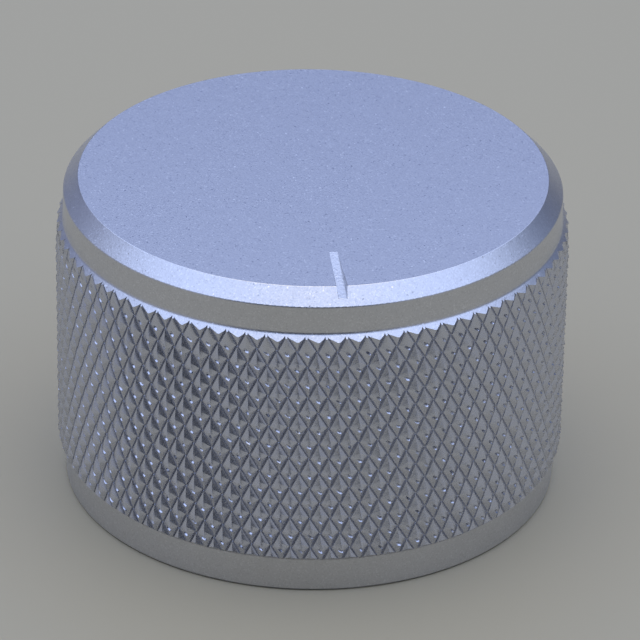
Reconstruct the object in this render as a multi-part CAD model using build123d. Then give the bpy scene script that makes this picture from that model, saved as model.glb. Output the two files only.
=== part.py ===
from build123d import *
import math
import os

# Volume knob: one turned and diamond-knurled aluminium body with a clamping screw at the back.
# Millimetres. +Z is up along the shaft axis, the origin is the centre of the base face, the pointer is towards -Y.

# turned form
height = 20.0
land_radius = 14.95  # plain land above the grip, and plain band at the foot
top_chamfer = 0.90  # 45 degrees
foot_break = 0.15
grip_low, grip_high = 2.15, 17.40  # the grip's 45 degree end chamfers start here, at land_radius
neck_fillet = 0.30  # between the grip's upper end chamfer and the land, in four flats

# diamond knurl, 1.0 mm normal pitch
starts = 82  # grooves each way round
crest_radius = 15.47
root_radius = 15.05
right_rate, left_rate = 3.2462, 2.9492  # radians of groove phase per mm of height, right and left hand grooves
first_angle, first_z = 0.00465, 0.1554  # a groove crossing: radians from -Y towards +X, and height

# pointer slot, cut by a tapered cutter on a slope
slot_inner_radius = 9.94
slot_outer_radius, slot_outer_depth = 14.59, 0.546
slot_floor_width = 0.48
slot_wall_taper = 9.5  # degrees a side

# shaft bore and nut recess
bore_radius = 3.05  # clearance on a 6 mm shaft
bore_top = 16.5
bore_lead = 0.5
drill_point = 118.0
recess_radius, recess_depth, recess_lead = 8.0, 5.0, 0.4

# set screw, M3 x 8, flat point, 1.5 mm hexagon socket; the thread's fine form is left off both pieces
screw_radius = 1.5
screw_length = 8.0
screw_height = 10.0
screw_tip_y = 3.35
tip_chamfer, head_chamfer = 0.45, 0.30
socket_flats, socket_depth = 1.5, 1.5
mouth_radius, mouth_start = 1.40, 14.92  # the countersink's cone passes through this radius at this Y

drop = bore_radius / math.tan(math.radians(drill_point / 2))


def ring(*points):
    return revolve(Plane.XZ * make_face(Polyline(*points, close=True)), Axis.Z)


# The knurl is a shell of flat triangles: each diamond is a four-sided pyramid whose corners are groove crossings at
# the root radius and whose tip is at the crest radius.
def knurl_point(s, t, radius):
    angle = 2 * math.pi * (s * left_rate + t * right_rate) / (starts * (left_rate + right_rate)) + first_angle
    z = 2 * math.pi * (s - t) / (left_rate + right_rate) + first_z
    return Vector(radius * math.sin(angle), -radius * math.cos(angle), z)


row = 2 * math.pi / (left_rate + right_rate)
first_row = math.floor((grip_low - first_z) / row) - 1
last_row = math.ceil((grip_high - first_z) / row) + 1
below, above = Vector(0, 0, grip_low - 6), Vector(0, 0, grip_high + 6)
triangles = []
for j in range(first_row, last_row + 1):
    for i in range(starts):
        n = i - j // 2
        m = n + j
        left = knurl_point(m, n, root_radius)
        top = knurl_point(m + 1, n, root_radius)
        right = knurl_point(m + 1, n + 1, root_radius)
        bottom = knurl_point(m, n + 1, root_radius)
        tip = knurl_point(m + 0.5, n + 0.5, crest_radius)
        triangles += [(left, top, tip), (top, right, tip), (right, bottom, tip), (bottom, left, tip)]
        if j == last_row:
            triangles += [(left, top, above), (top, right, above)]
        if j == first_row:
            triangles += [(left, bottom, below), (bottom, right, below)]
knurl = Solid(Shell([Face(Wire.make_polygon(list(t), close=True)) for t in triangles]))

# grip: the knurl between its two 45 degree end chamfers
swell = 1.2
grip = knurl & ring(
    (0, grip_low),
    (land_radius, grip_low),
    (land_radius + swell, grip_low + swell),
    (land_radius + swell, grip_high - swell),
    (land_radius, grip_high),
    (0, grip_high),
)

foot = ring(
    (0, 0),
    (land_radius - foot_break, 0),
    (land_radius, foot_break),
    (land_radius, grip_low),
    (0, grip_low),
)
tangent = neck_fillet * math.tan(math.radians(22.5))
neck = [math.radians(45 - 11.25 * k) for k in range(5)]
crown = ring(
    (0, grip_high - tangent * math.sin(neck[0])),
    *[
        (land_radius + neck_fillet * (1 - math.cos(a)), grip_high + tangent - neck_fillet * math.sin(a))
        for a in neck
    ],
    (land_radius, height - top_chamfer),
    (land_radius - top_chamfer, height),
    (0, height),
)
body = grip + foot + crown

# shaft bore with its drill point, and the recess over the potentiometer's nut
body -= ring(
    (0, -1),
    (recess_radius + recess_lead + 1, -1),
    (recess_radius, recess_lead),
    (recess_radius, recess_depth),
    (bore_radius + bore_lead, recess_depth),
    (bore_radius, recess_depth + bore_lead),
    (bore_radius, bore_top),
    (0, bore_top + drop),
)

# tapped hole for the set screw, along +Y, with a light 60 degree countersink at its mouth
hole = Plane(origin=(0, bore_radius - 1.5, screw_height), z_dir=(0, 1, 0)) * Cylinder(
    screw_radius, crest_radius - bore_radius + 3, align=(Align.CENTER, Align.CENTER, Align.MIN)
)
mouth = Plane(origin=(0, mouth_start, screw_height), z_dir=(0, 1, 0)) * Cone(
    mouth_radius, mouth_radius + math.tan(math.radians(30)), 1.0, align=(Align.CENTER, Align.CENTER, Align.MIN)
)
body -= hole + mouth

# pointer slot: a tapered channel along a floor that slopes down from the top face out through the chamfer
slope = math.atan2(slot_outer_depth, slot_outer_radius - slot_inner_radius)
flare = math.tan(math.radians(slot_wall_taper))
half, rise = slot_floor_width / 2, 1.5
across = Plane(
    origin=(0, -slot_inner_radius, height),
    x_dir=(1, 0, 0),
    z_dir=(0, -math.cos(slope), -math.sin(slope)),
)
section = across * make_face(
    Polyline(
        (-half, 0), (-half - rise * flare, rise), (half + rise * flare, rise), (half, 0), close=True
    )
)
body -= extrude(section, 7)

knob_body = body.solids()[0]

# set screw
axis_out = Plane(origin=(0, screw_tip_y, screw_height), z_dir=(0, 1, 0))
blank = revolve(
    Plane.XZ
    * make_face(
        Polyline(
            (0, 0),
            (screw_radius - tip_chamfer, 0),
            (screw_radius, tip_chamfer),
            (screw_radius, screw_length - head_chamfer),
            (screw_radius - head_chamfer, screw_length),
            (0, screw_length),
            close=True,
        )
    ),
    Axis.Z,
)
socket = Pos(0, 0, screw_length - socket_depth) * extrude(
    RegularPolygon(socket_flats / 2, 6, major_radius=False), socket_depth + 1
)
socket_bottom = Pos(0, 0, screw_length - socket_depth) * Cone(
    0.05, socket_flats / 2, 0.35, align=(Align.CENTER, Align.CENTER, Align.MAX)
)
set_screw = axis_out * (blank - socket - socket_bottom)

os.makedirs("parts", exist_ok=True)
export_step(knob_body, "parts/knob_body.step")
export_step(set_screw, "parts/set_screw.step")
print("solids", len(body.solids()), "body volume", round(knob_body.volume, 1), "screw volume", round(set_screw.volume, 2))
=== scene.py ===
import bpy
import bmesh
import math
import numpy as np
from mathutils import Matrix, Vector
from mathutils.geometry import delaunay_2d_cdt


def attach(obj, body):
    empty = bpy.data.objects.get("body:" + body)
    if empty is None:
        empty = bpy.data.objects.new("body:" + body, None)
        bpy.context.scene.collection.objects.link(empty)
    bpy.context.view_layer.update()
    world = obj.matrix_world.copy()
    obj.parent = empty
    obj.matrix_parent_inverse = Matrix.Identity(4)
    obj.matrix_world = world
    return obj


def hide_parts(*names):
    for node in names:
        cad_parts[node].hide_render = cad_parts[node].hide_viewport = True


# The looks of a turned and diamond-knurled aluminium volume knob. Lengths here are millimetres in the part's own
# frame, and each mesh is scaled to metres when it is made.

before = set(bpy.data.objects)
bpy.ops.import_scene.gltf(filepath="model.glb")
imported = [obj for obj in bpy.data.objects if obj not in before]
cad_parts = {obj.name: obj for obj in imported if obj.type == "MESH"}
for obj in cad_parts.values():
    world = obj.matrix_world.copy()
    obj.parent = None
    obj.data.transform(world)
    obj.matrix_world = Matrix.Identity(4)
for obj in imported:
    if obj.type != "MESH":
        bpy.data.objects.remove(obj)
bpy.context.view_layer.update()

# ---- the part's driving sizes ------------------------------------------------------------------------------------
height = 20.0
land_radius = 14.95
top_chamfer = 0.90
foot_break = 0.15
grip_low, grip_high = 2.15, 17.40
fillet = 0.30  # between the grip's upper end chamfer and the land
starts = 82
right_rate, left_rate = 3.2462, 2.9492
first_angle, first_z = 0.00465, 0.1554
slot_inner_radius, slot_outer_radius, slot_outer_depth = 9.94, 14.59, 0.546
slot_floor_width, slot_wall_taper = 0.48, 9.5
bore_radius, bore_top, bore_lead, drill_point = 3.05, 16.5, 0.5, 118.0
recess_radius, recess_depth, recess_lead = 8.0, 5.0, 0.4
screw_height, screw_tip_y, screw_length = 10.0, 3.35, 8.0
thread_pitch = 0.5

# the knurl as rolled
mean_radius = 15.4
flank_foot, full, ridge_blend = 15.15, 0.36, 0.08  # where the flanks start, how far they would rise, how soft they meet
apex_s, apex_t = 0.035, 0.165  # the tip's shift in each groove phase, so the flanks differ in steepness
slip = 0.08  # each right-hand groove slips this share of a pitch to the right after it is crossed, and creeps back
bottom_s, low_s, high_s = 15.11, 0.055, 0.035  # left-hand grooves: radius, and width either side in groove phase
bottom_t, low_t, high_t = 15.080, 0.095, 0.030  # right-hand grooves, which close up where the others cross them
crown_radius, crown_fall, crown_blend = 15.455, 0.5, 0.04
pit_centre, pit_half, pit_lean = (0.066, -0.185), (0.210, 0.100), math.radians(-34)
pit_depth, pit_skew = 0.195, 0.45  # the deepest point is that share of the half height above the pit's middle

BLASTED, KNURLED, MILLED, TURNED, GROOVE_PAINTED_SHADE = 0, 1, 2, 3, 4


# ---- triangle soups: points, a normal for each corner, and a material for each triangle --------------------------
class Soup:
    def __init__(self):
        self.p, self.n, self.m = [], [], []

    def add(self, p, n, m):
        p, n = np.asarray(p, float).reshape(-1, 3, 3), np.asarray(n, float).reshape(-1, 3, 3)
        self.p.append(p)
        self.n.append(n)
        self.m.append(np.full(len(p), m) if np.isscalar(m) else np.asarray(m))

    def arrays(self):
        return np.concatenate(self.p), np.concatenate(self.n), np.concatenate(self.m)


def unit(v):
    return v / np.maximum(np.linalg.norm(v, axis=-1, keepdims=True), 1e-12)


def on_edge(inside, outside, f):
    """The point of each edge where f is zero, found from the same end each time."""
    low, high = np.zeros(len(inside)), np.ones(len(inside))
    for _ in range(26):
        mid = (low + high) / 2
        neg = f(inside + (outside - inside) * mid[:, None]) < 0
        low, high = np.where(neg, mid, low), np.where(neg, high, mid)
    return (low + high) / 2


def clip(p, n, m, f):
    """Keeps the side of a soup where f is positive. Returns the soup, and the segments where it was cut."""
    v = f(p.reshape(-1, 3)).reshape(-1, 3)
    neg = v < 0
    count = neg.sum(1)
    out_p, out_n, out_m, cuts = [p[count == 0]], [n[count == 0]], [m[count == 0]], []
    for k in (1, 2):
        pick = np.where(count == k)[0]
        if not len(pick):
            continue
        lone = np.argmax(neg[pick] if k == 1 else ~neg[pick], axis=1)
        roll = (lone[:, None] + np.arange(3)) % 3
        q, qn = p[pick[:, None], roll], n[pick[:, None], roll]
        a, b, c = q[:, 0], q[:, 1], q[:, 2]
        if k == 1:  # a is cut off
            tb, tc = on_edge(a, b, f), on_edge(a, c, f)
            pb, pc = a + (b - a) * tb[:, None], a + (c - a) * tc[:, None]
            nb = qn[:, 0] + (qn[:, 1] - qn[:, 0]) * tb[:, None]
            nc = qn[:, 0] + (qn[:, 2] - qn[:, 0]) * tc[:, None]
            out_p += [np.stack([pb, b, c], 1), np.stack([pb, c, pc], 1)]
            out_n += [np.stack([nb, qn[:, 1], qn[:, 2]], 1), np.stack([nb, qn[:, 2], nc], 1)]
            out_m += [m[pick], m[pick]]
        else:  # only a is kept
            tb, tc = on_edge(b, a, f), on_edge(c, a, f)
            pb, pc = b + (a - b) * tb[:, None], c + (a - c) * tc[:, None]
            nb = qn[:, 1] + (qn[:, 0] - qn[:, 1]) * tb[:, None]
            nc = qn[:, 2] + (qn[:, 0] - qn[:, 2]) * tc[:, None]
            out_p.append(np.stack([a, pb, pc], 1))
            out_n.append(np.stack([qn[:, 0], nb, nc], 1))
            out_m.append(m[pick])
        cuts.append(np.stack([pb, pc], 1))
    cuts = np.concatenate(cuts)
    return np.concatenate(out_p), unit(np.concatenate(out_n)), np.concatenate(out_m), cuts


def loop_of(cuts, angle):
    """The points of a cut's longest loop, joined end to end and turned to run with the angle, and their angles."""
    key = np.round(cuts.reshape(-1, 3) * 2e4).astype(np.int64)
    _, first, index = np.unique(key, axis=0, return_index=True, return_inverse=True)
    points, index = cuts.reshape(-1, 3)[first], index.reshape(-1, 2)
    beside = {}
    for a, b in index[index[:, 0] != index[:, 1]].tolist():
        beside.setdefault(a, set()).add(b)
        beside.setdefault(b, set()).add(a)
    best, seen = [], set()
    for start in beside:
        if start in seen:
            continue
        chain, at = [start], start
        seen.add(start)
        while True:
            ahead = [q for q in beside[at] if q not in seen]
            if not ahead:
                break
            at = ahead[0]
            seen.add(at)
            chain.append(at)
        if len(chain) > len(best):
            best = chain
    points = points[best]
    a = np.unwrap(angle(points))
    if a[-1] < a[0]:
        points, a = points[::-1], a[::-1]
    start = int(np.argmin(a % (2 * math.pi)))
    points = np.roll(points, -start, axis=0)
    a = np.unwrap(angle(points))
    # where the loop doubles back a little, its partners on the plain ring wait for it
    return points, np.clip(np.maximum.accumulate(a), 0, 2 * math.pi - 1e-6)


def zip_rings(a, b, angle_a, angle_b):
    """Triangles between two closed rings of points, both in order of angle."""
    start = int(np.argmin(np.abs((angle_b - angle_a[0] + math.pi) % (2 * math.pi) - math.pi)))
    b, angle_b = np.roll(b, -start, axis=0), np.roll(angle_b, -start)
    base = angle_a[0]
    ta = np.append((angle_a - base) % (2 * math.pi), 2 * math.pi)
    tb = (angle_b - base + 1e-9) % (2 * math.pi)
    tb[0] = min(tb[0], 2 * math.pi - tb[0])
    tb = np.append(tb, tb[0] + 2 * math.pi)
    tb[0] = 0.0 if tb[0] > math.pi else tb[0]
    tris, i, j = [], 0, 0
    while i < len(a) or j < len(b):
        if j >= len(b) or (i < len(a) and ta[i + 1] <= tb[j + 1]):
            tris.append((a[i % len(a)], a[(i + 1) % len(a)], b[j % len(b)]))
            i += 1
        else:
            tris.append((a[i % len(a)], b[(j + 1) % len(b)], b[j % len(b)]))
            j += 1
    return np.array(tris)


def about_z(p):
    return np.arctan2(p[..., 0], -p[..., 1]) % (2 * math.pi)


def outward(p):
    r = np.hypot(p[..., 0], p[..., 1])
    return np.stack([p[..., 0] / np.maximum(r, 1e-9), p[..., 1] / np.maximum(r, 1e-9), np.zeros_like(r)], -1)


def ring_points(angles, r, z):
    return np.stack([r * np.sin(angles), -r * np.cos(angles), np.full_like(angles, z)], -1)


def lathe(soup, angles, steps, m):
    """Revolves steps, each (r, z, normal out, normal up, r, z, normal out, normal up), over the given angles."""
    nxt = np.roll(np.arange(len(angles)), -1)
    for r0, z0, o0, u0, r1, z1, o1, u1 in steps:
        a, b = ring_points(angles, r0, z0), ring_points(angles, r1, z1)
        e = outward(ring_points(angles, 1.0, 0.0))
        up = np.array([0, 0, 1.0])
        na, nb = unit(e * o0 + up * u0), unit(e * o1 + up * u1)
        if r0 > 1e-6:
            soup.add(np.stack([a, a[nxt], b[nxt]], 1), np.stack([na, na[nxt], nb[nxt]], 1), m)
        if r1 > 1e-6:
            soup.add(np.stack([a, b[nxt], b], 1), np.stack([na, nb[nxt], nb], 1), m)


def straight(r0, z0, r1, z1):
    """A lathe step whose normal is square to it, on the left of its direction."""
    d = math.hypot(r1 - r0, z1 - z0)
    o, u = (z1 - z0) / d, -(r1 - r0) / d
    return (r0, z0, o, u, r1, z1, o, u)


def rounded(points, radii, arc_steps=3):
    """Lathe steps along a profile whose inner corners are rounded by the given radii (0 leaves one sharp)."""
    steps, at = [], np.array(points[0], float)
    for k in range(1, len(points) - 1):
        p, q, r = np.array(points[k - 1], float), np.array(points[k], float), np.array(points[k + 1], float)
        d0, d1 = unit(q - p), unit(r - q)
        turn = math.atan2(d0[0] * d1[1] - d0[1] * d1[0], float(d0 @ d1))
        if radii[k - 1] <= 0 or abs(turn) < 1e-3:
            steps.append(straight(*at, *q))
            at = q
            continue
        t = radii[k - 1] * math.tan(abs(turn) / 2)
        s, e = q - d0 * t, q + d1 * t
        steps.append(straight(*at, *s))
        n0 = np.array([d0[1], -d0[0]])
        centre = s - n0 * radii[k - 1] * math.copysign(1, turn)
        last, last_n = s, n0
        for i in range(1, arc_steps + 1):
            w = turn * i / arc_steps
            n = np.array([n0[0] * math.cos(w) - n0[1] * math.sin(w), n0[0] * math.sin(w) + n0[1] * math.cos(w)])
            now = centre + n * radii[k - 1] * math.copysign(1, turn)
            steps.append((*last, *last_n, *now, *n))
            last, last_n = now, n
        at = e
    steps.append(straight(*at, *points[-1]))
    return steps


# ---- the knurled grip --------------------------------------------------------------------------------------------
# Each diamond has four flat flanks that meet in softened ridges, a low crown, and a sharp narrow line at the bottom of
# its grooves, whose material adds painted shade there. The rolled metal did not quite close at the tip, which leaves a
# small leaning pit just under it.
row = 2 * math.pi / (left_rate + right_rate)
turn = 2 * math.pi / (starts * (left_rate + right_rate))


def cell_flat(ds, dt):
    """From groove phases about a diamond's centre to millimetres along the arc and up."""
    return mean_radius * turn * (ds * left_rate + dt * right_rate), row * (ds - dt)


def cell_phase(x, z):
    a, b = x / (mean_radius * turn), z / row
    return (a + b * right_rate) / (left_rate + right_rate), (a - b * left_rate) / (left_rate + right_rate)


tip_x, tip_z = cell_flat(apex_s, apex_t + slip * (0.5 - apex_s))


def soft_min(a, b, k):
    return np.minimum(a, b) - np.maximum(k - np.abs(a - b), 0) ** 2 / (4 * k)


def pit_place(x, z, centre_x, centre_z, half_x, half_z, lean):
    """Position in the pit's own axes, each as a share of its half length: 1 is the rim."""
    c, s = np.cos(lean), np.sin(lean)
    dx, dz = x - centre_x, z - centre_z
    return (dx * c + dz * s) / half_x, (-dx * s + dz * c) / half_z


def grip_radius(x, z, rise, pit):
    ds, dt = cell_phase(x, z)
    dt = dt - slip * (0.5 - ds)
    flank_s = full * np.minimum((0.5 + ds) / (0.5 + apex_s), (0.5 - ds) / (0.5 - apex_s))
    flank_t = full * np.minimum((0.5 + dt) / (0.5 + apex_t), (0.5 - dt) / (0.5 - apex_t))
    blend = ridge_blend * np.clip(np.minimum(flank_s, flank_t) / 0.07, 0.03, 1)
    h = flank_foot + soft_min(flank_s, flank_t, blend)
    away = np.minimum((x - tip_x) ** 2 + (z - tip_z) ** 2, 0.12)
    h = soft_min(h, crown_radius - crown_fall * away + rise, crown_blend)
    in_s = np.clip(np.minimum((0.5 + ds) / low_s, (0.5 - ds) / high_s), 0, 1)
    in_t = np.clip(np.minimum((0.5 + dt) / low_t, (0.5 - dt) / high_t), 0, 1)
    open_up = np.clip(np.minimum((0.5 + ds) / 0.20, (0.5 - ds) / 0.09), 0, 1)
    bottom = bottom_s + (bottom_t - bottom_s) * open_up
    h = bottom + (h - bottom) * in_t
    h = bottom_s + (h - bottom_s) * in_s
    # the pit is a cone on an oval mouth, leaning so that its lower wall is the long one
    u, v = pit_place(x, z, *pit[:5])
    a, b = 1 - pit_skew**2, 1 - pit_skew * v
    deep = (b - np.sqrt(np.maximum(b**2 - a * (1 - u**2 - v**2), 0))) / a
    return h - pit[5] * np.where(np.hypot(u, v) < 1, np.clip(deep, 0, 1), 0)


def diamond_template():
    """One diamond laid flat: points (millimetres along the arc and up, from its centre) and triangles."""
    flat = lambda a, b: np.array(cell_flat(a, b + slip * (0.5 - a)))
    corners = ((-0.5, -0.5), (0.5, -0.5), (0.5, 0.5), (-0.5, 0.5))
    toward = lambda c, f: flat(c[0] + (apex_s - c[0]) * f, c[1] + (apex_t - c[1]) * f)
    lines = []
    cut_s, cut_t = (-0.5, low_s - 0.5, -0.30, 0.41, 0.5 - high_s, 0.5), (-0.5, low_t - 0.5, 0.5 - high_t, 0.5)
    for a, b in zip(cut_s[:-1], cut_s[1:]):
        lines += [(flat(a, d), flat(b, d)) for d in cut_t]
    for a, b in zip(cut_t[:-1], cut_t[1:]):
        lines += [(flat(d, a), flat(d, b)) for d in (low_s - 0.5, 0.5 - high_s)]
    # the sides along left-hand grooves also carry their neighbours' corners, which the slip has moved
    for d, moved in ((-0.5, -slip), (0.5, slip)):
        side = sorted(set(cut_t) | {round((c + moved + 0.5) % 1 - 0.5, 9) for c in cut_t})
        lines += [(flat(d, a), flat(d, b)) for a, b in zip(side[:-1], side[1:])]
    for k in range(4):
        a, b = corners[k], corners[(k + 1) % 4]
        for f in (0.62, 0.84):
            lines.append((toward(a, f), toward(b, f)))
        lines += [(toward(a, f), toward(a, g)) for f, g in ((0, 0.62), (0.62, 0.84), (0.84, 1))]
    points, edges, rim = [], [], []

    def index(p):
        for i, q in enumerate(points):
            if abs(q[0] - p[0]) + abs(q[1] - p[1]) < 1e-6:
                return i
        points.append(np.array(p, float))
        return len(points) - 1

    still = (pit_centre[0], pit_centre[1], pit_half[0], pit_half[1], pit_lean)
    own = lambda p: np.array(pit_place(p[0], p[1], *still))

    def back(q):
        c, s = math.cos(pit_lean), math.sin(pit_lean)
        x, z = q[0] * pit_half[0], q[1] * pit_half[1]
        return np.array([pit_centre[0] + x * c - z * s, pit_centre[1] + x * s + z * c])

    for a, b in lines:
        qa, qb = own(a), own(b)
        d = qb - qa
        A, B, C = float(d @ d), float(2 * qa @ d), float(qa @ qa) - 1
        root = B * B - 4 * A * C
        spans = [(0.0, 1.0)]
        if root > 0:
            t0, t1 = (-B - math.sqrt(root)) / (2 * A), (-B + math.sqrt(root)) / (2 * A)
            spans = [(0.0, min(1.0, t0)), (max(0.0, t1), 1.0)]
        for lo, hi in spans:
            if hi - lo < 1e-6 or lo > 1 or hi < 0:
                continue
            ends = []
            for t in (lo, hi):
                p = a + (b - a) * t
                if abs(float(own(p) @ own(p)) - 1) < 1e-6:
                    rim.append(math.atan2(own(p)[1], own(p)[0]))
                ends.append(index(p))
            edges.append(tuple(ends))
    even = [2 * math.pi * k / 9 - math.pi + 0.1 for k in range(9)]
    rim += [e for e in even if all(abs((e - r + math.pi) % (2 * math.pi) - math.pi) > 0.3 for r in rim)]
    for q, angles in ((1.0, sorted(rim)), (0.5, even)):
        ids = [index(back((q * math.cos(a), q * math.sin(a) + pit_skew * (1 - q)))) for a in angles]
        edges += [(ids[k], ids[(k + 1) % len(ids)]) for k in range(len(ids)) if ids[k] != ids[(k + 1) % len(ids)]]
    index(back((0.0, pit_skew)))
    got = delaunay_2d_cdt([Vector(p) for p in points], edges, [], 0, 1e-5)
    points, tris = np.array([tuple(v) for v in got[0]]), np.array([tuple(f) for f in got[2]])
    ds, dt = cell_phase(*points[tris].mean(1).T)
    dt = dt - slip * (0.5 - ds)
    return points, tris[np.maximum(np.abs(ds), np.abs(dt)) < 0.5 - 1e-5]  # none of the slivers outside its own edges


def knurl_soup():
    flat, tris = diamond_template()
    print("diamond:", len(flat), "points,", len(tris), "triangles")
    rng = np.random.default_rng(11)
    first_row = math.floor((grip_low - first_z) / row) - 1
    last_row = math.ceil((grip_high - first_z) / row) + 1
    j, i = np.meshgrid(np.arange(first_row, last_row + 1), np.arange(starts), indexing="ij")
    j, i = j.ravel(), i.ravel()
    n = i - j // 2
    m = n + j
    cells = len(j)
    centre_z = row * j + first_z
    centre_a = turn * ((m + 0.5) * left_rate + (n + 0.5) * right_rate) + first_angle
    # no two diamonds are quite alike
    jig = lambda size: (size * rng.standard_normal(cells).clip(-2, 2))[:, None]
    pit = [pit_centre[0] + jig(0.014), pit_centre[1] + jig(0.014), pit_half[0] * (1 + jig(0.10)),
           pit_half[1] * (1 + jig(0.10)), pit_lean + jig(0.13), pit_depth * (1 + jig(0.16))]
    rise = jig(0.006) - np.where(centre_z > 16.2, 0.08, 0.0)[:, None]  # the last row is rolled less full
    at_hole = np.hypot(mean_radius * np.sin(centre_a), centre_z - screw_height) < 2.5
    at_hole &= np.cos(centre_a) < 0
    pit[5] = np.where(((centre_z < 2.9) | (centre_z > 17.0) | at_hole)[:, None], 0.0, pit[5])
    # the template's points move with the pit, less and less outside its rim, and not at all near the grooves
    x, z = flat[:, 0][None], flat[:, 1][None]
    u, v = pit_place(x, z, pit_centre[0], pit_centre[1], pit_half[0], pit_half[1], pit_lean)
    ds, dt = cell_phase(x, z)
    wall = 0.5 - np.maximum(np.abs(ds), np.abs(dt - slip * (0.5 - ds)))
    hold = np.clip((1.45 - np.hypot(u, v)) / 0.45, 0, 1) * np.clip((wall - 0.06) / 0.08, 0, 1)
    c, s = np.cos(pit[4]), np.sin(pit[4])
    hx, hz = u * pit[2], v * pit[3]
    x, z = x + (pit[0] + hx * c - hz * s - x) * hold, z + (pit[1] + hx * s + hz * c - z) * hold
    radius = grip_radius(x, z, rise, pit)
    angle = centre_a[:, None] + x / mean_radius
    P = np.stack([radius * np.sin(angle), -radius * np.cos(angle), centre_z[:, None] + z], -1)
    # each corner's normal is the slope just inside its own triangle, so creases stay crisp and curves stay smooth
    X, Z = x[:, tris], z[:, tris]
    X, Z = X + (X.mean(2, keepdims=True) - X) * 0.15, Z + (Z.mean(2, keepdims=True) - Z) * 0.15
    wide = [p[..., None] for p in pit]
    e = 0.0015
    gx = (grip_radius(X + e, Z, rise[..., None], wide) - grip_radius(X - e, Z, rise[..., None], wide)) / (2 * e)
    gz = (grip_radius(X, Z + e, rise[..., None], wide) - grip_radius(X, Z - e, rise[..., None], wide)) / (2 * e)
    A = angle[:, tris]
    zero, one = np.zeros_like(A), np.ones_like(A)
    N = unit(
        np.stack([np.sin(A), -np.cos(A), zero], -1)
        - gx[..., None] * np.stack([np.cos(A), np.sin(A), zero], -1)
        - gz[..., None] * np.stack([zero, zero, one], -1)
    )
    ds, dt = cell_phase(flat[tris].mean(1)[:, 0], flat[tris].mean(1)[:, 1])
    dt = dt - slip * (0.5 - ds)
    # the groove strips get the groove material: rougher, and darker as painted shade in the creases
    deep = (0.5 + ds < low_s) | (0.5 - ds < high_s) | (0.5 + dt < low_t) | (0.5 - dt < high_t)
    material = np.where(deep, GROOVE_PAINTED_SHADE, KNURLED)
    soup = Soup()
    soup.add(P[:, tris], N, np.tile(material, cells))
    return soup.arrays()


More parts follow.
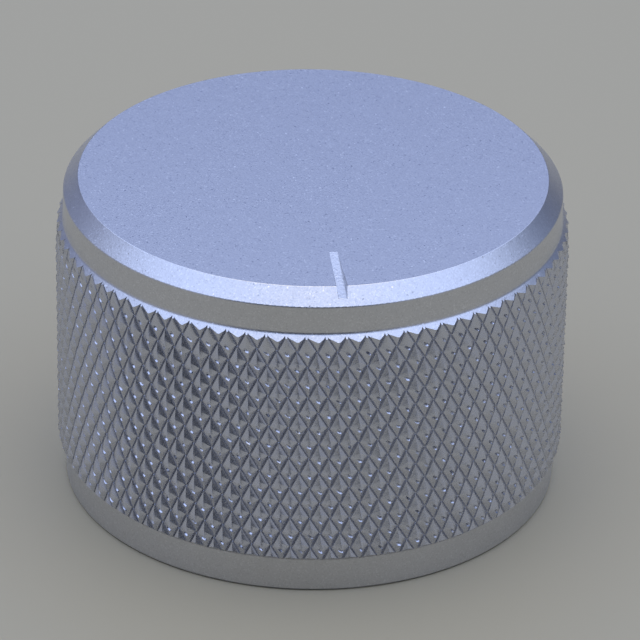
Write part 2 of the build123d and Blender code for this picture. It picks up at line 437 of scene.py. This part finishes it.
def build_body():
    body = Soup()
    kp, kn, km = knurl_soup()

    def under_top(p):
        return land_radius + grip_high - p[:, 2] - np.hypot(p[:, 0], p[:, 1])

    def over_foot(p):
        return land_radius + p[:, 2] - grip_low - np.hypot(p[:, 0], p[:, 1])

    mouth_y, mouth_r, mouth_flare = 14.92, 1.40, math.tan(math.radians(30))

    def off_mouth(p):
        rho = np.hypot(p[:, 0], p[:, 2] - screw_height)
        return np.where(p[:, 1] > 0, rho - (mouth_r + mouth_flare * (p[:, 1] - mouth_y)), 9.0)

    kp, kn, km, cuts = clip(kp, kn, km, under_top)
    top_loop, fine_top = loop_of(cuts, about_z)
    kp, kn, km, cuts = clip(kp, kn, km, over_foot)
    foot_loop, fine_foot = loop_of(cuts, about_z)
    about_hole = lambda p: np.arctan2(p[..., 2] - screw_height, p[..., 0]) % (2 * math.pi)
    kp, kn, km, cuts = clip(kp, kn, km, off_mouth)
    mouth_loop, around_mouth = loop_of(cuts, about_hole)
    body.add(kp, kn, km)

    # the grip's end chamfers: from the scalloped edge to the plain radius, with a fillet up into the land
    plain = (np.arange(256) + 0.5) * 2 * math.pi / 256
    up = np.array([0, 0, 1.0])
    tangent = fillet * math.tan(math.pi / 8)
    bend = [math.radians(45 - 45 * k / 4) for k in range(5)]
    arc = [(land_radius + fillet * (1 - math.cos(w)), grip_high + tangent - fillet * math.sin(w), math.cos(w), math.sin(w)) for w in bend]
    rim = ring_points(fine_top, arc[0][0], arc[0][1])
    nrm = unit(outward(rim) + up)
    nxt = np.roll(np.arange(len(rim)), -1)
    body.add(np.stack([rim, rim[nxt], top_loop[nxt]], 1), np.stack([nrm, nrm[nxt], nrm[nxt]], 1), BLASTED)
    body.add(np.stack([rim, top_loop[nxt], top_loop], 1), np.stack([nrm, nrm[nxt], nrm], 1), BLASTED)
    lathe(body, fine_top, [(*a, *b) for a, b in zip(arc[:-1], arc[1:])], BLASTED)
    a, b = ring_points(fine_top, land_radius, grip_high + tangent), ring_points(plain, land_radius, 18.0)
    tris = zip_rings(a, b, fine_top, plain)
    body.add(tris, outward(tris), BLASTED)
    rim = ring_points(fine_foot, land_radius, grip_low)
    nrm = unit(outward(rim) - up)
    nxt = np.roll(np.arange(len(rim)), -1)
    body.add(np.stack([rim, rim[nxt], foot_loop[nxt]], 1), np.stack([nrm, nrm[nxt], nrm[nxt]], 1), BLASTED)
    body.add(np.stack([rim, foot_loop[nxt], foot_loop], 1), np.stack([nrm, nrm[nxt], nrm], 1), BLASTED)

    # the plain band at the foot, the base face, the recess over the nut and the shaft bore
    a = ring_points(fine_foot, land_radius, grip_low)
    b = ring_points(plain, land_radius, grip_low - 0.25)
    tris = zip_rings(a, b, fine_foot, plain)
    body.add(tris, outward(tris), BLASTED)
    base = rounded(
        [(recess_radius + recess_lead, 0), (land_radius - foot_break, 0), (land_radius, foot_break), (land_radius, grip_low - 0.25)],
        [0.06, 0.06],
    )
    lathe(body, plain, base[:1], TURNED)
    lathe(body, plain, base[1:], BLASTED)
    lathe(body, plain, rounded(
        [(bore_radius + bore_lead, recess_depth), (recess_radius, recess_depth), (recess_radius, recess_lead), (recess_radius + recess_lead, 0)],
        [0.12, 0.04],
    ), TURNED)
    drop = bore_radius / math.tan(math.radians(drill_point / 2))
    lathe(body, plain, [straight(bore_radius, recess_depth + bore_lead, bore_radius + bore_lead, recess_depth)], TURNED)
    tip = straight(0, bore_top + drop, bore_radius, bore_top)
    lathe(body, plain, [tip], TURNED)
    # bore wall, open where the set screw's hole comes through
    levels = np.concatenate([[recess_depth + bore_lead, 7.2], np.linspace(8.5, 11.5, 13), [13.5, bore_top]])
    wall = Soup()
    lathe(wall, plain, [(bore_radius, a, -1, 0, bore_radius, b, -1, 0) for a, b in zip(levels[:-1], levels[1:])], TURNED)
    hole_r = 1.23
    wp, wn, wm, cuts = clip(*wall.arrays(), lambda p: np.where(p[:, 1] > 0, np.hypot(p[:, 0], p[:, 2] - screw_height) - hole_r, 9.0))
    body.add(wp, wn, wm)
    bore_loop, around_bore = loop_of(cuts, about_hole)

    # tapped hole
    segs = 48
    th = (np.arange(segs)) * 2 * math.pi / segs
    y_in, y_out = 3.10, mouth_y - (mouth_r - hole_r) / mouth_flare

    def hole_ring(y, r=hole_r):
        return np.stack([r * np.cos(th), np.full(segs, y), screw_height + r * np.sin(th)], -1)

    def hole_inward(p):
        v = np.stack([p[..., 0], np.zeros(p.shape[:-1]), p[..., 2] - screw_height], -1)
        return -unit(v)

    tris = zip_rings(bore_loop, hole_ring(y_in), around_bore, th)
    body.add(tris, hole_inward(tris), TURNED)
    a = hole_ring(y_out)
    tris = zip_rings(mouth_loop, a, around_mouth, th)
    body.add(tris, unit(hole_inward(tris) + np.array([0, mouth_flare, 0])), TURNED)
    tp, tn = helix(th, y_in, y_out, lambda y: hole_r + (1.495 - hole_r) * fade(y, y_in, y_out, 0.7), hole_r, True)
    body.add(tp, tn, TURNED)

    # the crown: land, chamfer and top face as one closed solid, with the pointer slot cut by a true Boolean
    cp, cn, cm = crown(plain)
    body.add(cp, cn, cm)
    return body.arrays()


def fade(y, a, b, w):
    return np.clip((y - a) / w, 0, 1) * np.clip((b - y) / w, 0, 1)


def helix(th, y0, y1, crest_at, root, internal, crest_half=0.08, root_half=0.11):
    """A thread's surface between the planes y0 and y1, which it meets at the root radius."""
    steps = [(-crest_half, 1), (crest_half, 1), (0.5 - root_half, 0), (0.5 + root_half, 0)]
    turns = int((y1 - y0) / thread_pitch) + 3
    rows = [((k + c) * thread_pitch, h) for k in range(-1, turns) for c, h in steps]
    n = len(th)
    th2 = np.append(th, 2 * math.pi)
    Y = np.array([[y0 + r[0] + thread_pitch * a / (2 * math.pi) for a in th2] for r in rows])
    H = np.array([r[1] for r in rows])[:, None]
    Yc = np.clip(Y, y0, y1)
    R = root + (crest_at(Yc) - root) * H
    X, Z = R * np.cos(th2), screw_height + R * np.sin(th2)
    P = np.stack([X, Yc, Z], -1)
    a, b, c, d = P[:-1, :-1], P[:-1, 1:], P[1:, 1:], P[1:, :-1]
    p = np.concatenate([np.stack([a, b, c], 2).reshape(-1, 3, 3), np.stack([a, c, d], 2).reshape(-1, 3, 3)])
    g = np.cross(p[:, 1] - p[:, 0], p[:, 2] - p[:, 0])
    keep = np.linalg.norm(g, axis=1) > 1e-9
    p, g = p[keep], unit(g[keep])
    mid = p.mean(1)
    out = np.stack([mid[:, 0], np.zeros(len(mid)), mid[:, 2] - screw_height], -1)
    g *= np.sign((g * out).sum(1))[:, None] * (-1 if internal else 1)
    return p, np.repeat(g[:, None], 3, 1)


def hull_object(name, points):
    bm = bmesh.new()
    for p in points:
        bm.verts.new(p)
    bmesh.ops.convex_hull(bm, input=bm.verts)
    bmesh.ops.recalc_face_normals(bm, faces=bm.faces)
    mesh = bpy.data.meshes.new(name)
    bm.to_mesh(mesh)
    bm.free()
    o = bpy.data.objects.new(name, mesh)
    bpy.context.scene.collection.objects.link(o)
    return o


def crown(plain):
    profile = [(land_radius, 18.0), (land_radius, height - top_chamfer), (land_radius - top_chamfer, height), (0, height)]
    steps = rounded(profile, [0.18, 0.07])
    rings = [(s[0], s[1]) for s in steps]
    bm = bmesh.new()
    made = []
    for r, z in rings:
        made.append([bm.verts.new(p) for p in ring_points(plain, r, z)])
    for a, b in zip(made[:-1], made[1:]):
        for k in range(len(plain)):
            l = (k + 1) % len(plain)
            bm.faces.new((a[k], a[l], b[l], b[k]))
    bm.faces.new(made[-1])
    bm.faces.new(list(reversed(made[0])))
    bmesh.ops.recalc_face_normals(bm, faces=bm.faces)
    mesh = bpy.data.meshes.new("crown_work")
    bm.to_mesh(mesh)
    bm.free()
    solid = bpy.data.objects.new("crown_work", mesh)
    bpy.context.scene.collection.objects.link(solid)

    # the cutter: floor on a slope, walls tapered, and a 45 degree break along the rim
    slope = math.atan2(slot_outer_depth, slot_outer_radius - slot_inner_radius)
    flare = math.tan(math.radians(slot_wall_taper))
    along = np.array([0, -math.cos(slope), -math.sin(slope)])
    square = np.array([0, -math.sin(slope), math.cos(slope)])
    start = np.array([0, -slot_inner_radius, height])
    half, run = slot_floor_width / 2, 6.5
    side = np.array([1.0, 0, 0])

    def section(at, w0, w1, d0, d1):
        return [start + along * at + side * x + square * d for x, d in ((-w0, d0), (w0, d0), (w1, d1), (-w1, d1))]

    wedge = section(0, half, half + 1.6 * flare, 0, 1.6) + section(run, half, half + 1.6 * flare, 0, 1.6)
    cutters = [hull_object("slot_work", wedge)]
    # rim break on the flat face: a shallow trough just wider than the slot's mouth
    lip = 0.028
    def mouth(y):  # half width of the slot's mouth in the top face at that distance out
        return half + (y - slot_inner_radius) * math.tan(slope) * flare / math.cos(slope)
    trough = []
    for y, d in ((slot_inner_radius + 0.3, -0.02), (land_radius - top_chamfer + 0.4, lip)):
        w = mouth(y)
        trough += [(-w + 0.02, -y, height - d - 0.02), (w - 0.02, -y, height - d - 0.02),
                   (w + d + 0.1, -y, height + 0.1), (-w - d - 0.1, -y, height + 0.1)]
    cutters.append(hull_object("rim_work", trough))
    # and down the chamfer
    down = []
    for r, z in ((land_radius - top_chamfer - 0.3, height + 0.3), (slot_outer_radius + 0.0, height - (slot_outer_radius - land_radius + top_chamfer))):
        w = mouth(r) - (height - z if z < height else 0) * flare
        for x, d in ((w - 0.02, -lip - 0.02), (w + lip + 0.1, 0.1)):
            for sgn in (-1, 1):
                down.append((sgn * x, -(r + d * 0.7071), z + d * 0.7071))
    cutters.append(hull_object("down_work", down))
    for c in cutters:
        mod = solid.modifiers.new("cut", "BOOLEAN")
        mod.operation, mod.solver, mod.object = "DIFFERENCE", "EXACT", c
    bpy.context.view_layer.update()
    done = solid.evaluated_get(bpy.context.evaluated_depsgraph_get()).to_mesh()
    done.calc_loop_triangles()
    tri = np.zeros(len(done.loop_triangles) * 3, np.int32)
    done.loop_triangles.foreach_get("vertices", tri)
    co = np.zeros(len(done.vertices) * 3)
    done.vertices.foreach_get("co", co)
    co = co.reshape(-1, 3)
    solid.to_mesh_clear()
    p = co[tri.reshape(-1, 3)]
    for o in [solid] + cutters:
        bpy.data.objects.remove(o)
    area = np.cross(p[:, 1] - p[:, 0], p[:, 2] - p[:, 0])
    keep = (np.linalg.norm(area, axis=1) > 1e-10) & ~(np.abs(p[:, :, 2] - 18.0).max(1) < 1e-5)
    p, g = p[keep], unit(area[keep])
    # the turned faces get their true normals; the slot keeps flat ones
    r, z = np.hypot(p[..., 0], p[..., 1]), p[..., 2]
    mr, mz = r.mean(1), z.mean(1)
    n = np.repeat(g[:, None], 3, 1)
    m = np.full(len(p), MILLED)
    e = outward(p)
    upv = np.array([0, 0, 1.0])
    for s in steps:
        a, b = np.array(s[0:2]), np.array(s[4:6])
        d = b - a
        L = float(d @ d)
        if L < 1e-12:
            continue
        tm = ((mr - a[0]) * d[0] + (mz - a[1]) * d[1]) / L
        off = np.abs((mr - a[0]) * d[1] - (mz - a[1]) * d[0]) / math.sqrt(L)
        fl = unit(outward(p.mean(1)) * ((s[2] + s[6]) / 2) + upv * ((s[3] + s[7]) / 2))
        hit = (tm > -0.02) & (tm < 1.02) & (off < 0.004) & ((fl * g).sum(1) > 0.97)
        tv = np.clip(((r - a[0]) * d[0] + (z - a[1]) * d[1]) / L, 0, 1)[..., None]
        nv = unit(e * (s[2] + (s[6] - s[2]) * tv) + upv * (s[3] + (s[7] - s[3]) * tv))
        n = np.where(hit[:, None, None], nv, n)
        m = np.where(hit, BLASTED, m)
    flat_top = (g[:, 2] > 0.9999) & (mz > height - 1e-4)
    n = np.where(flat_top[:, None, None], upv, n)
    m = np.where(flat_top, BLASTED, m)
    return p, n, m


def build_screw():
    soup = Soup()
    y0, y1 = screw_tip_y, screw_tip_y + screw_length
    segs = 48
    th = np.arange(segs) * 2 * math.pi / segs
    root = 1.19

    def circle(y, r):
        return np.stack([r * np.cos(th), np.full(segs, y), screw_height + r * np.sin(th)], -1)

    def strip(a, b):
        nxt = np.roll(np.arange(segs), -1)
        for tri in (np.stack([a, a[nxt], b[nxt]], 1), np.stack([a, b[nxt], b], 1)):
            g = np.cross(tri[:, 1] - tri[:, 0], tri[:, 2] - tri[:, 0])
            keep = np.linalg.norm(g, axis=1) > 1e-9
            yield tri[keep], unit(g[keep])

    def put(a, b, toward, m=0):
        for tri, g in strip(a, b):
            g = g * np.sign((g * toward(tri.mean(1))).sum(1))[:, None]
            soup.add(tri, np.repeat(g[:, None], 3, 1), m)

    radial = lambda c: np.stack([c[:, 0], np.zeros(len(c)), c[:, 2] - screw_height], -1)
    minus, plus = lambda c: np.tile([0, -1.0, 0], (len(c), 1)), lambda c: np.tile([0, 1.0, 0], (len(c), 1))
    # flat point, its chamfer, the thread, the head's chamfer and face
    put(circle(y0, 1e-4), circle(y0, 0.95), minus)
    put(circle(y0, 0.95), circle(y0 + 0.24, root), radial)
    crest = lambda y: root + (1.47 - root) * fade(y, y0 + 0.24, y1 - 0.16, 0.34)
    tp, tn = helix(th, y0 + 0.24, y1 - 0.16, crest, root, False, 0.05, 0.13)
    soup.add(tp, tn, 0)
    put(circle(y1 - 0.16, root), circle(y1 - 0.02, root - 0.10), radial)
    put(circle(y1 - 0.02, root - 0.10), circle(y1, root - 0.13), lambda c: radial(c) + plus(c) * 2)
    # hexagon socket with a small lead, and its drilled bottom
    flats = 0.75

    def hexagon(y, f):
        k = np.floor((th + math.pi / 6) / (math.pi / 3)) * math.pi / 3
        r = f / np.cos(th - k)
        return np.stack([r * np.cos(th), np.full(segs, y), screw_height + r * np.sin(th)], -1)

    put(circle(y1, root - 0.13), circle(y1, 0.93), plus)
    put(circle(y1, 0.93), hexagon(y1 - 0.09, flats), lambda c: plus(c) - radial(c))
    put(hexagon(y1 - 0.09, flats), hexagon(y1 - 1.5, flats), lambda c: -radial(c))
    put(hexagon(y1 - 1.5, flats), circle(y1 - 1.5, 0.72), plus)
    put(circle(y1 - 1.5, 0.72), circle(y1 - 1.85, 1e-4), lambda c: plus(c) - radial(c))
    return soup.arrays()


def mesh_from(name, p, n, m, materials):
    """Welds a soup into a mesh in metres, with its own corner normals."""
    flat = p.reshape(-1, 3)
    key = np.round(flat * 2e4).astype(np.int64)
    _, first, index = np.unique(key, axis=0, return_index=True, return_inverse=True)
    tri = index.reshape(-1, 3)
    good = (tri[:, 0] != tri[:, 1]) & (tri[:, 1] != tri[:, 2]) & (tri[:, 2] != tri[:, 0])
    tri, n, m = tri[good], n[good], m[good]
    verts = flat[first]
    g = np.cross(verts[tri[:, 1]] - verts[tri[:, 0]], verts[tri[:, 2]] - verts[tri[:, 0]])
    flip = (g * n.sum(1)).sum(1) < 0
    tri[flip] = tri[flip][:, ::-1]
    n[flip] = n[flip][:, ::-1]
    mesh = bpy.data.meshes.new(name)
    mesh.vertices.add(len(verts))
    mesh.vertices.foreach_set("co", (verts * 0.001).astype(np.float32).ravel())
    mesh.loops.add(tri.size)
    mesh.loops.foreach_set("vertex_index", tri.ravel().astype(np.int32))
    mesh.polygons.add(len(tri))
    mesh.polygons.foreach_set("loop_start", np.arange(0, tri.size, 3, dtype=np.int32))
    mesh.polygons.foreach_set("material_index", m.astype(np.int32))
    mesh.update(calc_edges=True)
    mesh.validate()
    mesh.polygons.foreach_set("use_smooth", np.ones(len(mesh.polygons), bool))
    for mat in materials:
        mesh.materials.append(mat)
    mesh.normals_split_custom_set(unit(n).reshape(-1, 3).astype(np.float32))
    mesh.update()
    o = bpy.data.objects.new(name, mesh)
    bpy.context.scene.collection.objects.link(o)
    return o


# ---- materials ---------------------------------------------------------------------------------------------------
def new_material(name):
    mat = bpy.data.materials.new(name)
    mat.use_nodes = True
    nt = mat.node_tree
    nt.nodes.clear()
    out = nt.nodes.new("ShaderNodeOutputMaterial")
    shader = nt.nodes.new("ShaderNodeBsdfPrincipled")
    nt.links.new(shader.outputs["BSDF"], out.inputs["Surface"])
    return mat, nt, shader


def noise(nt, vector, scale, detail=2.0, rough=0.5):
    node = nt.nodes.new("ShaderNodeTexNoise")
    node.inputs["Scale"].default_value = scale
    node.inputs["Detail"].default_value = detail
    node.inputs["Roughness"].default_value = rough
    nt.links.new(vector, node.inputs["Vector"])
    return node.outputs["Fac"]


def ramp(nt, value, stops):
    node = nt.nodes.new("ShaderNodeValToRGB")
    node.color_ramp.elements[0].position, node.color_ramp.elements[0].color = stops[0][0], (*stops[0][1], 1)
    node.color_ramp.elements[1].position, node.color_ramp.elements[1].color = stops[-1][0], (*stops[-1][1], 1)
    for at, colour in stops[1:-1]:
        e = node.color_ramp.elements.new(at)
        e.color = (*colour, 1)
    nt.links.new(value, node.inputs["Fac"])
    return node.outputs["Color"]


def spread(nt, value, a, b, lo, hi):
    node = nt.nodes.new("ShaderNodeMapRange")
    for k, v in (("From Min", a), ("From Max", b), ("To Min", lo), ("To Max", hi)):
        node.inputs[k].default_value = v
    nt.links.new(value, node.inputs["Value"])
    return node.outputs["Result"]


def maths(nt, op, a, b):
    node = nt.nodes.new("ShaderNodeMath")
    node.operation = op
    for k, v in enumerate((a, b)):
        if isinstance(v, (int, float)):
            node.inputs[k].default_value = v
        else:
            nt.links.new(v, node.inputs[k])
    return node.outputs[0]


def vector_maths(nt, op, a, b):
    node = nt.nodes.new("ShaderNodeVectorMath")
    node.operation = op
    for k, v in enumerate((a, b)):
        if isinstance(v, tuple):
            node.inputs[k].default_value = v
        else:
            nt.links.new(v, node.inputs[k])
    return node.outputs["Value" if op in ("DOT_PRODUCT", "LENGTH") else "Vector"]


def scaled(nt, vector, factor):
    node = nt.nodes.new("ShaderNodeVectorMath")
    node.operation = "SCALE"
    nt.links.new(vector, node.inputs[0])
    nt.links.new(factor, node.inputs["Scale"])
    return node.outputs["Vector"]


def bump(nt, height_value, distance, strength=1.0, below=None):
    node = nt.nodes.new("ShaderNodeBump")
    node.inputs["Distance"].default_value = distance
    node.inputs["Strength"].default_value = strength
    nt.links.new(height_value, node.inputs["Height"])
    if below is not None:
        nt.links.new(below, node.inputs["Normal"])
    return node.outputs["Normal"]


ALUMINIUM = (0.632, 0.640, 0.672)
KNURL_PAINTED_REFLECTION = (0.592, 0.612, 0.692)  # the knurl's metal, tuned cooler and darker than the blasted faces: painted cool reflection in its base colour


def aluminium(name, roughness, rough_spread, grain, grain_depth, painted_shade_factor=1.0, sparkle=0.0, cell=11000.0, metal=ALUMINIUM):
    mat, nt, shader = new_material(name)
    where = nt.nodes.new("ShaderNodeTexCoord").outputs["Object"]
    shader.inputs["Metallic"].default_value = 1.0
    fine = noise(nt, where, grain, 2.0, 0.6)
    patch = noise(nt, where, 900.0, 2.0, 0.5)
    c = metal
    # a factor below 1 darkens the whole colour: painted shade
    lo, hi = painted_shade_factor * 0.985, painted_shade_factor * 1.015
    colour = ramp(nt, patch, [(0.25, tuple(x * lo for x in c)), (0.75, tuple(x * hi for x in c))])
    if sparkle:
        cells = nt.nodes.new("ShaderNodeTexVoronoi")
        cells.inputs["Scale"].default_value = cell
        nt.links.new(where, cells.inputs["Vector"])
        odd = vector_maths(nt, "SUBTRACT", cells.outputs["Color"], (0.5, 0.5, 0.5))
        glint = ramp(nt, cells.outputs["Color"], [(0.12, (0.90,) * 3), (0.28, (0.98,) * 3), (0.72, (1.01,) * 3), (0.88, (1.13,) * 3)])
        colour = vector_maths(nt, "MULTIPLY", colour, glint)
    nt.links.new(colour, shader.inputs["Base Color"])
    nt.links.new(spread(nt, fine, 0.25, 0.75, roughness - rough_spread, roughness + rough_spread), shader.inputs["Roughness"])
    normal = bump(nt, fine, grain_depth)
    if sparkle:
        # blasting leaves tiny facets, a few of them turned well away from the face
        size = maths(nt, "POWER", vector_maths(nt, "LENGTH", odd, (0, 0, 0)), 6.0)
        normal = vector_maths(nt, "NORMALIZE", vector_maths(nt, "ADD", normal, scaled(nt, odd, maths(nt, "MULTIPLY", size, sparkle))), (0, 0, 0))
    nt.links.new(normal, shader.inputs["Normal"])
    return mat


blasted = aluminium("anodised_blasted", 0.34, 0.05, 9000.0, 0.000006, sparkle=0.9, cell=13000.0)
# the knurl's base colour is bluer and darker than the blasted faces: painted cool reflection
knurled = aluminium("anodised_knurled", 0.28, 0.05, 7000.0, 0.000004, metal=KNURL_PAINTED_REFLECTION)
milled = aluminium("anodised_milled_slot", 0.34, 0.06, 5200.0, 0.00003)
turned = aluminium("anodised_turned", 0.30, 0.05, 4000.0, 0.000003)
# groove bottoms: rougher, with the colour darkened to 0.85 as painted shade in the creases, over the knurl's painted
# cool reflection colour
groove = aluminium("anodised_groove_painted_shade", 0.45, 0.08, 7000.0, 0.000004, 0.85, metal=KNURL_PAINTED_REFLECTION)

black, nt, shader = new_material("black_oxide_steel")
where = nt.nodes.new("ShaderNodeTexCoord").outputs["Object"]
shader.inputs["Metallic"].default_value = 1.0
mottle = noise(nt, where, 2200.0, 4.0, 0.6)
nt.links.new(ramp(nt, mottle, [(0.3, (0.035, 0.034, 0.036)), (0.7, (0.085, 0.083, 0.085))]), shader.inputs["Base Color"])
nt.links.new(spread(nt, mottle, 0.3, 0.7, 0.28, 0.46), shader.inputs["Roughness"])
nt.links.new(bump(nt, mottle, 0.000006), shader.inputs["Normal"])

# ---- pieces ------------------------------------------------------------------------------------------------------
knob = mesh_from("knob", *build_body(), [blasted, knurled, milled, turned, groove])
screw = mesh_from("grub_screw", *build_screw(), [black])
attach(knob, "root")
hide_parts("knob_body")
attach(screw, "root")
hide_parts("set_screw")

# ---- floor, light and camera -------------------------------------------------------------------------------------
floor_mesh = bpy.data.meshes.new("floor")
floor_mesh.from_pydata([(-3, -3, 0), (3, -3, 0), (3, 3, 0), (-3, 3, 0)], [], [(0, 1, 2, 3)])
floor = bpy.data.objects.new("floor", floor_mesh)
bpy.context.scene.collection.objects.link(floor)
pale, nt, shader = new_material("pale_floor")
shader.inputs["Base Color"].default_value = (0.420, 0.378, 0.268, 1)
shader.inputs["Roughness"].default_value = 0.55
shader.inputs["Specular IOR Level"].default_value = 0.25
floor_mesh.materials.append(pale)

world = bpy.data.worlds.new("soft_studio")
bpy.context.scene.world = world
world.use_nodes = True
nt = world.node_tree
nt.nodes.clear()
out = nt.nodes.new("ShaderNodeOutputWorld")
light = nt.nodes.new("ShaderNodeBackground")
nt.links.new(light.outputs[0], out.inputs["Surface"])
direction = nt.nodes.new("ShaderNodeTexCoord").outputs["Generated"]
parts = nt.nodes.new("ShaderNodeSeparateXYZ")
nt.links.new(direction, parts.inputs[0])
# how far round from the studio's front (which the knob's pointer faces, less 7 degrees): 0.5 is the front
front = math.radians(-7.05)


sideways = vector_maths(nt, "DOT_PRODUCT", direction, (math.cos(front), math.sin(front), 0.0))
forward = vector_maths(nt, "DOT_PRODUCT", direction, (math.sin(front), -math.cos(front), 0.0))
round_about = spread(nt, maths(nt, "ARCTAN2", sideways, forward), -math.pi, math.pi, 0.0, 1.0)
walls = [
    (-180, (0.07, 0.10, 0.27)), (-165, (0.10, 0.13, 0.28)), (-149, (0.15, 0.18, 0.30)), (-120, (0.25, 0.28, 0.42)), (-90, (0.30, 0.32, 0.40)),
    (-60, (0.33, 0.35, 0.42)), (-42, (0.30, 0.32, 0.38)), (-30, (0.025, 0.03, 0.045)), (24, (0.025, 0.03, 0.045)),
    (36, (0.31, 0.33, 0.38)), (60, (0.31, 0.33, 0.38)), (90, (0.25, 0.27, 0.31)), (120, (0.13, 0.17, 0.28)),
    (149, (0.09, 0.10, 0.16)), (165, (0.08, 0.10, 0.23)), (180, (0.07, 0.10, 0.27)),
]
horizon = ramp(nt, round_about, [((a + 180) / 360, c) for a, c in walls])
in_front = ramp(nt, round_about, [(0.38, (0, 0, 0)), (0.42, (1, 1, 1)), (0.55, (1, 1, 1)), (0.60, (0, 0, 0))])


def blend_up(low, high, start, end, later=0.0):
    """From one colour to the next as the direction rises between two elevations in degrees, later at the front."""
    rise = nt.nodes.new("ShaderNodeMapRange")
    rise.interpolation_type = "SMOOTHSTEP"
    rise.inputs["From Min"].default_value = math.sin(math.radians(start))
    rise.inputs["From Max"].default_value = math.sin(math.radians(end))
    nt.links.new(maths(nt, "SUBTRACT", parts.outputs["Z"], maths(nt, "MULTIPLY", in_front, later)), rise.inputs["Value"])
    mix = nt.nodes.new("ShaderNodeMix")
    mix.data_type = "RGBA"
    nt.links.new(rise.outputs[0], mix.inputs["Factor"])
    nt.links.new(low, mix.inputs["A"])
    mix.inputs["B"].default_value = (*high, 1)
    return mix.outputs["Result"]


sky = blend_up(horizon, (0.95, 1.14, 1.70), 21, 43.5, 0.16)
sky = blend_up(sky, (1.9, 1.78, 1.62), 63, 76)
nt.links.new(sky, light.inputs["Color"])

view = bpy.context.scene.view_settings
view.view_transform = "Standard"
view.look = "None"

# camera: solved from the photograph's ellipses and edges
distance_y, camera_z = 250.38, 149.78
yaw, pitch, roll, facing = -0.00186, 0.02983, 0.01522, math.radians(-7.05)
place = np.array([0, -distance_y, camera_z])
back = place / np.linalg.norm(place)
right = np.array([1.0, 0, 0])
axes = np.stack([right, np.cross(back, right), back])
cy, sy, cp, sp, cr, sr = math.cos(yaw), math.sin(yaw), math.cos(pitch), math.sin(pitch), math.cos(roll), math.sin(roll)
axes = (
    np.array([[cr, sr, 0], [-sr, cr, 0], [0, 0, 1]])
    @ np.array([[1, 0, 0], [0, cp, sp], [0, -sp, cp]])
    @ np.array([[cy, 0, -sy], [0, 1, 0], [sy, 0, cy]])
    @ axes
)
spin = np.array([[math.cos(facing), -math.sin(facing), 0], [math.sin(facing), math.cos(facing), 0], [0, 0, 1]])
axes = axes @ spin.T
place = spin @ place * 0.001
camera_data = bpy.data.cameras.new("camera")
camera_data.lens = 265.65
camera_data.sensor_width = 36.0
camera_data.clip_start, camera_data.clip_end = 0.01, 20.0
camera = bpy.data.objects.new("camera", camera_data)
bpy.context.scene.collection.objects.link(camera)
matrix = Matrix.Identity(4)
for r in range(3):
    for c in range(3):
        matrix[r][c] = float(axes[c][r])
    matrix[r][3] = float(place[r])
camera.matrix_world = matrix
bpy.context.scene.camera = camera
